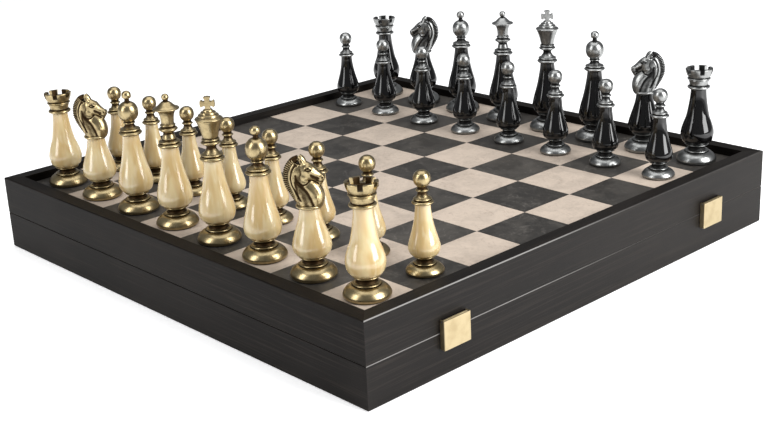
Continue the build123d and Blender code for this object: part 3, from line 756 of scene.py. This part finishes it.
# %% Cross
def cross(finish, middle=93.2, reach=4.75, bar=1.6, flare=2.3, thick=3.0):
    """A cross about the axis, with its middle at a height and its face along y."""
    side = [(bar, bar), (bar * 1.02, reach * 0.62), (flare, reach * 0.84), (flare * 0.8, reach * 0.98)]
    lobe = through(side, 5)
    tip = through([lobe[-1], (0.0, reach * 1.02), (-lobe[-1][0], lobe[-1][1])], 5)[1:-1]
    half = np.vstack((lobe, tip, lobe[::-1] * (-1, 1)))[:-1]
    quarter = Matrix.Rotation(pi / 2, 2)
    ring, arm = [], [Vector(p) for p in half]
    for _ in range(4):
        ring += arm
        arm = [quarter @ p for p in arm]
    work = bmesh.new()
    face = work.faces.new([work.verts.new((p.x, -thick / 2, middle + p.y)) for p in ring])
    raised = bmesh.ops.extrude_face_region(work, geom=[face])["geom"]
    far = [v for v in raised if isinstance(v, bmesh.types.BMVert)]
    bmesh.ops.translate(work, verts=far, vec=(0, thick, 0))
    flat = [f for f in work.faces if len(f.verts) > 4]
    edges = list({e for f in flat for e in f.edges})
    soft = {"offset": 0.6, "segments": 4, "profile": 0.6, "clamp_overlap": True}
    bmesh.ops.bevel(work, geom=edges, affect="EDGES", **soft)
    bmesh.ops.recalc_face_normals(work, faces=work.faces)
    bmesh.ops.triangulate(work, faces=[f for f in work.faces if len(f.verts) > 4])
    mesh = bpy.data.meshes.new("cross")
    work.to_mesh(mesh)
    work.free()
    mesh.materials.append(finish)
    mesh.polygons.foreach_set("use_smooth", [True] * len(mesh.polygons))
    return mesh


# %% [markdown]
# ## Several shells in one piece
# A cast head is one piece of metal, but it is easier to make as a few closed shells that overlap,
# as a caster builds up a pattern. These two helpers read a mesh as plain arrays and join shells
# into one mesh, with the groove depths kept.


# %% Join meshes into one
def arrays(mesh):
    """Points, faces and groove depths of a mesh."""
    points = np.empty(len(mesh.vertices) * 3, np.float32)
    mesh.vertices.foreach_get("co", points)
    depth = np.zeros(len(mesh.vertices), np.float32)
    if "groove" in mesh.attributes:
        mesh.attributes["groove"].data.foreach_get("value", depth)
    return points.reshape(-1, 3), [tuple(f.vertices) for f in mesh.polygons], depth


def solid(name, finish, *shells):
    """One mesh from several closed shells of (points, faces, groove depths)."""
    points, faces, depths, start = [], [], [], 0
    for p, f, d in shells:
        points.append(p)
        faces += [tuple(i + start for i in face) for face in f]
        depths.append(d)
        start += len(p)
    mesh = bpy.data.meshes.new(name)
    mesh.from_pydata(np.vstack(points).tolist(), [], faces)
    mesh.attributes.new("groove", "FLOAT", "POINT").data.foreach_set("value", np.concatenate(depths))
    mesh.polygons.foreach_set("use_smooth", [True] * len(mesh.polygons))
    mesh.materials.append(finish)
    return mesh


# %% [markdown]
# ## The knight
# A knight is modelled as it would be in wax. Tapered tubes give the neck, the head and the ears,
# and lumps give the chest, the jaws and the brow. They are melted into one skin, smoothed, and
# then carved with strokes for the mouth, nostrils, eyes and the planes of the neck.


# %% Tubes and lumps of wax
def tube(stations, sides=26, box=2.3):
    """A closed tube through (x, z, half width, half thickness) stations, square to its own path."""
    dense = through(stations, 5)
    path = dense[:, :2]
    ahead = np.gradient(path, axis=0)
    ahead /= np.linalg.norm(ahead, axis=1)[:, None]
    side = np.stack((ahead[:, 1], -ahead[:, 0]), 1)
    angle = np.arange(sides) * 2 * pi / sides
    across = np.sign(np.cos(angle)) * np.abs(np.cos(angle)) ** (2 / box)
    deep = np.sign(np.sin(angle)) * np.abs(np.sin(angle)) ** (2 / box)
    points = []
    for centre, out, (_, _, wide, thick) in zip(path, side, dense):
        ring = centre[None, :] + across[:, None] * wide * out[None, :]
        points += [(x, thick * d, z) for (x, z), d in zip(ring, deep)]
    faces = []
    for row in range(len(dense) - 1):
        for k in range(sides):
            a, b = row * sides + k, row * sides + (k + 1) % sides
            faces.append((a, b, b + sides, a + sides))
    faces += [tuple(range(sides))[::-1], tuple(range(len(points) - sides, len(points)))]
    return np.array(points), faces, np.zeros(len(points))


def lump(x, y, z, rx, ry, rz, lean=0.0):
    """An ellipsoid, leaning forwards by an angle in degrees."""
    work = bmesh.new()
    place = Matrix.Translation((x, y, z)) @ Matrix.Rotation(radians(lean), 4, "Y")
    place = place @ Matrix.Diagonal((rx, ry, rz, 1))
    bmesh.ops.create_uvsphere(work, u_segments=20, v_segments=14, radius=1, matrix=place)
    points = np.array([v.co[:] for v in work.verts])
    faces = [tuple(v.index for v in f.verts) for f in work.faces]
    work.free()
    return points, faces, np.zeros(len(points))


# %% [markdown]
# ### Melting
# The tubes and lumps overlap. A voxel remesh wraps them in one closed skin with an even grain, and
# a few passes of smoothing melt the joins, as a warm blade would.


# %% Melting
def melted(shells, grain=0.36, passes=5):
    """One smooth skin over overlapping shells."""
    mesh = solid("wax", None, *shells)
    holder = bpy.data.objects.new("wax", mesh)
    bpy.context.scene.collection.objects.link(holder)
    step = holder.modifiers.new("melt", "REMESH")
    step.mode = "VOXEL"
    step.voxel_size = grain
    relax = holder.modifiers.new("relax", "SMOOTH")
    relax.factor = 0.5
    relax.iterations = passes
    graph = bpy.context.evaluated_depsgraph_get()
    made = bpy.data.meshes.new_from_object(holder.evaluated_get(graph), depsgraph=graph)
    bpy.data.objects.remove(holder)
    return made


# %% [markdown]
# ### Carving tools
# A sculpting brush follows a line on the surface. Here a stroke is a line of places seen from the
# side, and every point of the skin near it is pushed in along its own normal. `stain` only leaves
# dark metal, and `hollows` finds where the skin itself is hollow and darkens it.


# %% Carving tools
class Carving:
    """Strokes pressed into both sides of a skin. Places are (x, z), mirrored from side to side."""

    def __init__(self, mesh):
        self.mesh = mesh
        self.points, self.faces, self.depth = arrays(mesh)
        self.points = self.points.astype(float)
        normal = np.empty(len(self.points) * 3, np.float32)
        mesh.vertex_normals.foreach_get("vector", normal)
        self.normal = normal.reshape(-1, 3).astype(float)

    def away(self, stroke):
        """Distance of each point from a line of places, seen from the side."""
        flat = self.points[:, (0, 2)]
        p = np.array(stroke, float)
        best = np.full(len(flat), 1e9)
        if len(p) == 1:
            return np.linalg.norm(flat - p[0], axis=1)
        for a, b in zip(p, p[1:]):
            t = np.clip(((flat - a) @ (b - a)) / max((b - a) @ (b - a), 1e-9), 0, 1)
            best = np.minimum(best, np.linalg.norm(flat - a - t[:, None] * (b - a), axis=1))
        return best

    def press(self, stroke, wide, deep, curved=True, inner=0.0):
        """Pushes a stroke in by deep, or out if deep is negative, fading over its width."""
        line = through(stroke, 5) if curved and len(stroke) > 2 else stroke
        fade = np.exp(-((self.away(line) / wide) ** 2))
        side = np.clip((np.abs(self.normal[:, 1]) - 0.15) / 0.4, 0, 1) * (np.abs(self.points[:, 1]) > inner)
        push = fade * side
        self.points -= self.normal * (push * deep)[:, None]
        self.depth = np.clip(self.depth + push * max(deep, 0) * 1.1, 0, 1)

    def stain(self, stroke, wide, strength):
        """Leaves dark metal along a stroke without moving the skin."""
        line = through(stroke, 5) if len(stroke) > 2 else stroke
        fade = np.exp(-((self.away(line) / wide) ** 2))
        self.depth = np.clip(self.depth + fade * strength, 0, 1)

    def hollows(self):
        """Adds the skin's own hollows to the groove depths."""
        edges = np.empty(len(self.mesh.edges) * 2, np.int32)
        self.mesh.edges.foreach_get("vertices", edges)
        a, b = edges.reshape(-1, 2).T
        count = np.bincount(a, minlength=len(self.points)) + np.bincount(b, minlength=len(self.points))
        bend = np.zeros(len(self.points))
        for here, there in ((a, b), (b, a)):
            lean = ((self.points[there] - self.points[here]) * self.normal[here]).sum(1)
            bend += np.bincount(here, lean, minlength=len(self.points))
        bend /= np.maximum(count, 1)
        for _ in range(4):
            near = np.bincount(a, bend[b], minlength=len(bend))
            near = near + np.bincount(b, bend[a], minlength=len(bend))
            bend = 0.4 * bend + 0.6 * near / np.maximum(count, 1)
        self.depth = np.clip(self.depth + np.clip(bend / 0.035, 0, 0.8), 0, 1)

    def shell(self):
        return self.points, self.faces, self.depth


# %% [markdown]
# ### The knight in wax
# The first tube is the neck and the second the head. The lumps are the chest, nostrils, jaws, brows
# and chin, and the last tubes are the tuft between the ears and the ears themselves.

# %% Wax for the knight
knight_foot_z = 45.0
wax = [
    tube([(0.0, 0.8, 7.5, 6.5), (0.6, 4.4, 9.0, 6.7), (0.1, 8.2, 9.3, 6.2), (-2.6, 12.0, 8.3, 5.6),
          (-5.0, 15.8, 6.8, 5.1), (-5.6, 19.6, 6.5, 4.8), (-4.5, 23.6, 6.3, 4.4), (-3.4, 26.4, 5.0, 3.6)]),
    tube([(-5.4, 22.8, 5.0, 3.6), (-3.2, 22.4, 6.2, 4.4), (-0.6, 21.8, 6.1, 4.7), (2.2, 20.9, 5.1, 4.1),
          (4.8, 19.7, 3.8, 3.3), (7.0, 18.5, 3.2, 2.8), (9.0, 17.4, 2.8, 2.6), (10.1, 16.9, 1.6, 1.8)]),
    lump(4.2, 0, 6.0, 5.6, 6.2, 6.1, 10),
    lump(8.9, 1.2, 18.7, 1.7, 1.8, 1.7, 25), lump(8.9, -1.2, 18.7, 1.7, 1.8, 1.7, 25),
    lump(-1.8, 2.3, 19.2, 4.0, 2.6, 4.1), lump(-1.8, -2.3, 19.2, 4.0, 2.6, 4.1),
    lump(1.6, 2.8, 24.9, 2.5, 1.4, 1.1, 35), lump(1.6, -2.8, 24.9, 2.5, 1.4, 1.1, 35),
    lump(7.3, 0, 15.0, 1.8, 1.7, 1.2, 20),
    tube([(-1.6, 27.0, 1.9, 2.4), (-2.8, 29.8, 1.9, 2.2), (-4.4, 31.8, 1.3, 1.7)]),
]
ear = [(-1.9, 26.2, 1.3, 1.0), (-2.5, 28.4, 1.3, 0.9), (-3.1, 30.0, 0.8, 0.6), (-3.5, 31.2, 0.3, 0.3)]
for ear_side in (1, -1):
    points, faces, depth = tube(ear)
    wax.append((points + (0, 2.7 * ear_side, 0), faces, depth))
skin = Carving(melted(wax))
print("knight's skin", len(skin.faces), "faces")

# %% [markdown]
# ### Carving the knight
# Each stroke is a line of places on the side of the head with a width and a depth. A negative
# depth raises the metal, which makes the eyelids, the bone of the face and the edge of the cheek.

# %% Carve
skin.press([(10.6, 16.2), (9.2, 15.9), (7.4, 16.5), (5.9, 17.1)], 0.36, 0.65)
skin.press([(9.4, 18.9)], 0.52, 0.85)
skin.press([(10.2, 19.4), (9.1, 20.0), (8.1, 19.3)], 0.45, -0.3)
skin.press([(3.4, 22.3), (5.4, 21.0), (7.4, 20.1)], 0.6, -0.3)
skin.press([(3.0, 20.5), (5.0, 19.2), (6.6, 18.5)], 0.8, 0.3)
skin.press([(0.0, 25.0), (1.5, 25.6), (3.3, 24.4)], 0.42, -0.5)
skin.press([(0.0, 23.3), (1.6, 22.6), (3.1, 23.2)], 0.42, -0.35)
skin.press([(-0.5, 24.2), (0.5, 24.85), (1.8, 24.8), (3.1, 23.8)], 0.26, 0.55)
skin.press([(-0.2, 23.9), (1.4, 23.2), (2.9, 23.6)], 0.26, 0.45)
skin.press([(1.5, 24.05)], 0.6, -0.35)
cheek = [(-1.9 + 4.1 * cos(radians(t)), 19.1 + 4.2 * sin(radians(t))) for t in range(190, 331, 20)]
skin.press(cheek, 0.5, 0.6)
skin.press([(-1.8, 19.0)], 2.4, -0.2)
skin.press([(-3.9, 15.4), (0.5, 10.2), (3.1, 4.8), (4.0, 1.2)], 1.0, 0.40)
skin.press([(1.0, 13.2), (4.4, 9.6), (6.0, 4.8), (6.2, 1.6)], 1.3, -0.30)
skin.press([(-6.4, 20.4), (-6.5, 14.4), (-5.6, 8.0), (-5.0, 1.6)], 0.9, 0.25)
skin.press([(-8.4, 18.6), (-7.9, 12.4), (-6.9, 6.2)], 0.8, -0.3)
skin.stain([(-4.6, 19.0), (-4.4, 13.0), (-1.6, 7.4), (0.2, 2.0)], 2.3, 0.38)
skin.stain([(3.4, 19.4), (5.2, 18.6), (6.8, 17.8)], 1.3, 0.35)
skin.stain([(-5.6, 24.6), (-3.4, 23.4)], 1.8, 0.3)
skin.stain([(1.5, 24.0)], 1.6, 0.3)
skin.press([(-3.3, 27.2), (-3.2, 29.8)], 0.35, 0.4)
crest_outside = [
    (-8.4, 2.1), (-9.6, 3.8), (-12.1, 8.4), (-14.2, 12.9), (-15.1, 17.4), (-14.7, 22.4), (-13.2, 26.6),
    (-10.6, 30.2), (-7.5, 32.1), (-5.0, 32.5), (-3.0, 31.6),
]
crest = through(crest_outside, 8)
crest_ahead = np.gradient(crest, axis=0)
crest_ahead /= np.linalg.norm(crest_ahead, axis=1)[:, None]
crest_inwards = np.stack((crest_ahead[:, 1], -crest_ahead[:, 0]), 1)
skin.press([tuple(p) for p in crest + crest_inwards * 5.5], 0.55, 0.7, curved=False)
skin.hollows()
print("deepest groove", round(float(skin.depth.max()), 2))

# %% [markdown]
# ### The mane
# The mane is a comb of about thirty even, rounded ribs that follow the crest from the poll down to
# the shoulders. One rib is instanced along the crest and turned to stand square to it.


# %% Mane
def combing():
    sizes = {"Thickness": "Float", "Width": "Float", "Reach": "Float"}
    s = Shape("ribs_along_a_crest", Ribs="Int", **sizes, Finish="Material")
    curve = s.add("GeometryNodeMeshToCurve", None, {0: s.given("Outline")})
    even = {"Curve": curve, "Count": s.given("Ribs")}
    points = s.add("GeometryNodeResampleCurve", {"mode": "COUNT"}, even)
    along = s.add("GeometryNodeInputTangent")
    facing = s.add("FunctionNodeAlignRotationToVector", {"axis": "X"}, {"Vector": along})
    place = s.add("GeometryNodeSplineParameter", None, None, "Factor")
    middle = 1 - (place - 0.45) * (place - 0.45) * 1.5
    ball = s.add("GeometryNodeMeshUVSphere", None, {"Segments": 18, "Rings": 12, "Radius": 1.0}, "Mesh")
    size = s.add("ShaderNodeCombineXYZ", None, {
        0: s.given("Thickness"), 1: s.given("Width") * middle, 2: s.given("Reach") * middle,
    })
    ribs = {"Points": points, "Instance": ball, "Rotation": facing, "Scale": size}
    comb = s.add("GeometryNodeInstanceOnPoints", None, ribs)
    return s.end(comb)


mane = combing()
print("nodes in the mane's tree", len(mane.tree.nodes))

# %% [markdown]
# ## Finishing the heads
# Three heads are more than turned. The knight joins its skin, mane and a dark core to a turned
# base, the rook's tower is notched and darkened inside, and the king's lid carries the cross.


# %% Heads with cast parts
def line_mesh(places):
    """A line through (x, z) places, for a tree to follow."""
    mesh = bpy.data.meshes.new("line")
    points = [(x, 0, z) for x, z in places]
    mesh.from_pydata(points, [(i, i + 1) for i in range(len(points) - 1)], [])
    return mesh


def knight_head(metal):
    middle = crest + crest_inwards * 2.65
    comb = mane.make(line_mesh(middle), Ribs=28, Thickness=0.72, Width=2.5, Reach=2.75, Finish=metal)
    comb_points, comb_faces, _ = arrays(comb)
    facing = np.empty(len(comb_points) * 3, np.float32)
    comb.vertex_normals.foreach_get("vector", facing)
    nearest = np.linalg.norm(comb_points[:, None, (0, 2)] - middle[None], axis=2).argmin(1)
    sideways = np.abs((facing.reshape(-1, 3)[:, (0, 2)] * crest_ahead[nearest]).sum(1))
    comb_depth = np.clip((sideways - 0.25) * 1.4, 0, 1).astype(np.float32)
    core_points, core_faces, core_depth = tube([(x, z, 2.1, 1.8) for x, z in middle[2::8]], 16)
    up = np.array((0, 0, knight_foot_z))
    skin_points, skin_faces, skin_depth = skin.shell()
    shells = [(skin_points, skin_faces, skin_depth), (comb_points, comb_faces, comb_depth)]
    shells.append((core_points, core_faces, core_depth + 1.0))
    raised = [(p + up, f, d) for p, f, d in shells]
    return solid("knight_head", metal, *raised, arrays(turn(knight_base, metal)))


def rook_tower(metal):
    tower = turn(rook_head, metal, 96)
    points, _, depth = arrays(tower)
    inside = (np.hypot(points[:, 0], points[:, 1]) < 7.4) & (points[:, 2] > 65)
    tower.attributes["groove"].data.foreach_set("value", np.where(inside, 1.0, depth).astype(np.float32))
    return notches.make(tower, Notches=6, Width=3.3, Depth=3.7, Finish=metal)


def king_with_cross(metal):
    return solid("king_head", metal, arrays(turn(king_head, metal)), arrays(cross(metal)))


# %% [markdown]
# ## Casting the pieces
# Each kind of piece is made once for each army and then copied to its squares. Both armies share
# every shape, so only the finishes differ.


# %% Make every kind
def army(metal, resin):
    """The meshes of one army, by kind and piece."""
    tall = {"foot": turn(officer_foot, metal), "pad": turn(officer_pad, black_felt, 48)}
    body = turn(officer_body, resin, 96)
    return {
        "king": {**tall, "body": body, "head": king_with_cross(metal)},
        "queen": {**tall, "body": body, "head": turn(queen_head, metal)},
        "bishop": {**tall, "body": body, "head": turn(bishop_head, metal)},
        "knight": {**tall, "body": turn(knight_body, resin, 96), "head": knight_head(metal)},
        "rook": {**tall, "body": turn(rook_body, resin, 96), "head": rook_tower(metal)},
        "pawn": {
            "foot": turn(pawn_foot, metal), "pad": turn(pawn_pad, black_felt, 48),
            "body": turn(pawn_body, resin, 80), "head": turn(pawn_head, metal, 64),
        },
    }


armies = {"white": army(antique_brass, ivory_body), "black": army(antique_pewter, ebony_body)}
for kind, parts in armies["white"].items():
    print(kind, {part: len(mesh.polygons) for part, mesh in parts.items()})

# %% [markdown]
# ## Setting up the board
# A chessman's axis comes from its node. The knights are turned as they stand on the real board,
# the king's cross faces the corner that the set is seen from, and every other piece gets its own
# turn, so that no two show the same side of the marbling.

# %% Put the chessmen on their squares
knight_turn = {"white": -52.0, "black": 128.0}
cross_turn = -45.0


def set_down(mesh, node, part, turned):
    """A copy of a mesh on its square, riding on its own body."""
    x, y, z = standing_place(node)
    copy = mesh.copy()
    points = np.empty(len(copy.vertices) * 3, np.float32)
    copy.vertices.foreach_get("co", points)
    points = points.reshape(-1, 3)
    own = copy.attributes.new("own", "FLOAT_VECTOR", "POINT")
    own.data.foreach_set("vector", (points + chance.uniform(0, 900, 3)).astype(np.float32).ravel())
    spin = Matrix.Rotation(radians(turned), 4, "Z")
    copy.transform(Matrix.Translation((x, y, z)) @ spin @ Matrix.Scale(MM, 4))
    copy.set_sharp_from_angle(angle=radians(40))
    obj = bpy.data.objects.new(f"{node}_{part}", copy)
    bpy.context.scene.collection.objects.link(obj)
    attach(obj, "piece_" + node)
    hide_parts(node)
    return obj


faces_set_down = 0
for node in chessmen:
    side, kind = node.split("_")[:2]
    for part, mesh in armies[side][kind].items():
        turned = chance.uniform(0, 360)
        if part == "head" and kind == "knight":
            turned = knight_turn[side]
        if part == "head" and kind == "king":
            turned = cross_turn
        obj = set_down(mesh, node, part, turned)
        faces_set_down += len(obj.data.polygons)
print(len(chessmen), "chessmen,", faces_set_down, "faces")

# %% [markdown]
# ## The studio
# A pale, seamless floor and large soft lights suit a glossy set. Two tall lights stand at the
# left and right of the viewer and draw the long highlights down the bodies, and a wide one
# overhead fills the board.

# %% Floor and light
floor_reach, floor_z = 6.0, -0.0002
floor_mesh = bpy.data.meshes.new("floor")
corners = [(x * floor_reach, y * floor_reach, floor_z) for x, y in ((-1, -1), (1, -1), (1, 1), (-1, 1))]
floor_mesh.from_pydata(corners, [], [(0, 1, 2, 3)])
floor = bpy.data.objects.new("floor", floor_mesh)
bpy.context.scene.collection.objects.link(floor)
backdrop = Finish("pale_floor", Roughness=0.6, Emission_Strength=0.42)
blotch = backdrop.noise(backdrop.on_box(), 0.004, 2.0)
backdrop.feed(Base_Color=backdrop.mix(blotch, (0.93, 0.93, 0.93), (0.95, 0.95, 0.95)))
backdrop.feed(Emission_Color=backdrop.mix(blotch, (1.0, 1.0, 1.0), (0.98, 0.98, 0.98)))
paint(floor, backdrop.material)

world = bpy.data.worlds.new("studio")
world.use_nodes = True
world.node_tree.nodes["Background"].inputs["Color"].default_value = (0.85, 0.87, 0.90, 1.0)
world.node_tree.nodes["Background"].inputs["Strength"].default_value = 0.25
bpy.context.scene.world = world


def softbox(name, place, aim, wide, high, power):
    """A rectangular light at a place, aimed at a point."""
    light = bpy.data.lights.new(name, "AREA")
    light.shape = "RECTANGLE"
    light.size, light.size_y = wide, high
    light.energy = power
    obj = bpy.data.objects.new(name, light)
    obj.location = place
    obj.rotation_euler = (Vector(aim) - Vector(place)).to_track_quat("-Z", "Y").to_euler()
    bpy.context.scene.collection.objects.link(obj)
    return obj


softbox("overhead", (0.1, 0.1, 1.5), (0, 0, 0), 1.6, 1.6, 15.0)
softbox("tall_left", (-1.35, 0.25, 0.75), (0, 0, 0.06), 0.5, 1.3, 12.0)
softbox("tall_right", (0.35, -1.35, 0.75), (0, 0, 0.06), 0.85, 1.3, 38.0)
print("lights", len(bpy.data.lights))

# %% [markdown]
# ## The camera
# The set is seen from above its near corner through a moderately long lens, and the camera leans
# a little to one side, as when held in the hand. Its own right and top are worked out from where
# it looks and how far it leans.

# %% Camera
camera_place = Vector((-0.6355, -0.6959, 0.3514))
camera_turn, camera_down, camera_roll = radians(47.31), radians(19.52), radians(-2.73)
heading = Vector((cos(camera_turn), sin(camera_turn), 0))
forward = heading * cos(camera_down) - Vector((0, 0, sin(camera_down)))
level = Vector((sin(camera_turn), -cos(camera_turn), 0))
above = level.cross(forward)
right = level * cos(camera_roll) + above * sin(camera_roll)
top = above * cos(camera_roll) - level * sin(camera_roll)
lens = bpy.data.cameras.new("camera")
lens.lens = 60.61
lens.sensor_width = 36.0
lens.clip_start, lens.clip_end = 0.01, 50.0
camera = bpy.data.objects.new("camera", lens)
facing = Matrix((right, top, -forward)).transposed().to_4x4()
camera.matrix_world = Matrix.Translation(camera_place) @ facing
bpy.context.scene.collection.objects.link(camera)
bpy.context.scene.camera = camera
bpy.context.scene.view_settings.view_transform = "Standard"
print("camera at", [round(v, 3) for v in camera_place])
